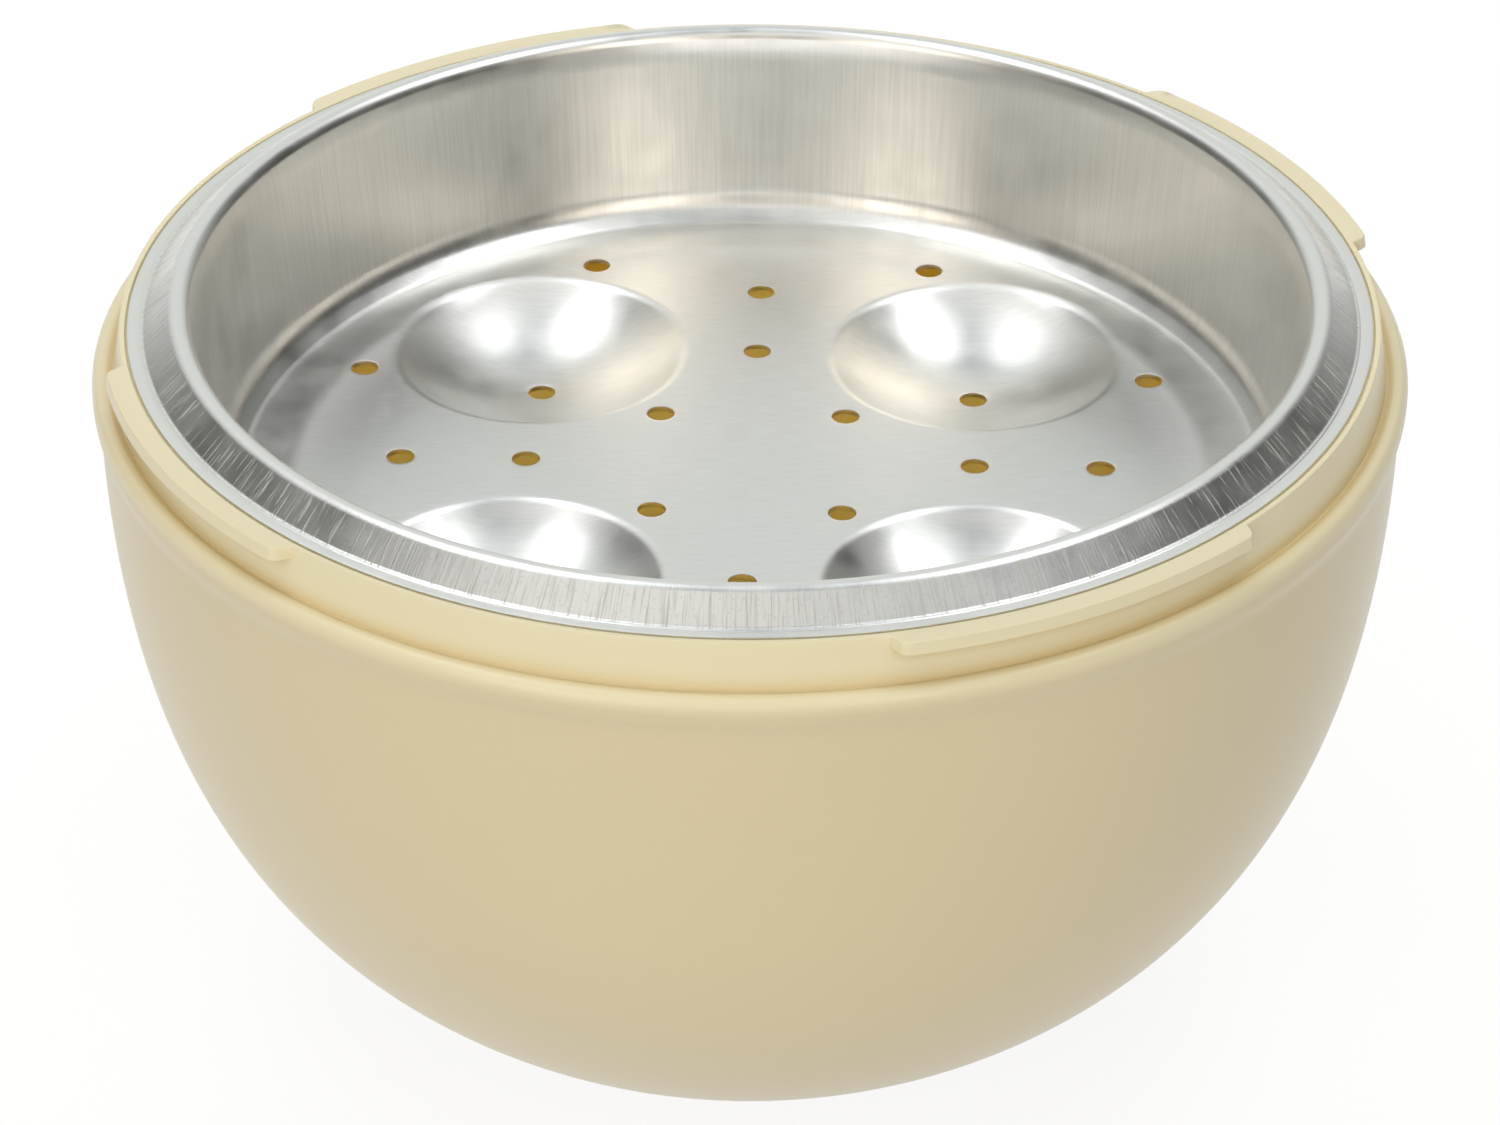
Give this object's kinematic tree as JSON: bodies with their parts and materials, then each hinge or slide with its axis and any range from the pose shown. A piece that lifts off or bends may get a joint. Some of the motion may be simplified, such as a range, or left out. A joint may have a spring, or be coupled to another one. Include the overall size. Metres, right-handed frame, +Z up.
{
  "type": "microwave egg boiler base with egg tray",
  "caption": "Round half-egg plastic base that holds water, with a loose perforated aluminium egg tray resting on its rim and bayonet lugs for a lid.",
  "frame": {"origin": "centre of the foot, on the surface that the base stands on", "axes": "+Z up along the axis of the round base and tray; +X along one row of two steam holes, so the egg seats lie on the diagonals"},
  "size_m": [0.15, 0.15, 0.0901],
  "materials": {
    "cream_plastic": "satin, moulded, slightly translucent",
    "pressed_aluminium": "drawn and lightly brushed, bright"
  },
  "bodies": {
    "base": {"base_shell": "cream_plastic"},
    "tray": {"egg_tray": "pressed_aluminium"}
  },
  "joints": [
    {"name": "tray_lift", "type": "slide", "parent": "base", "child": "tray", "axis": [0, 0, 1], "range_m": [0, 0.08]}
  ]
}
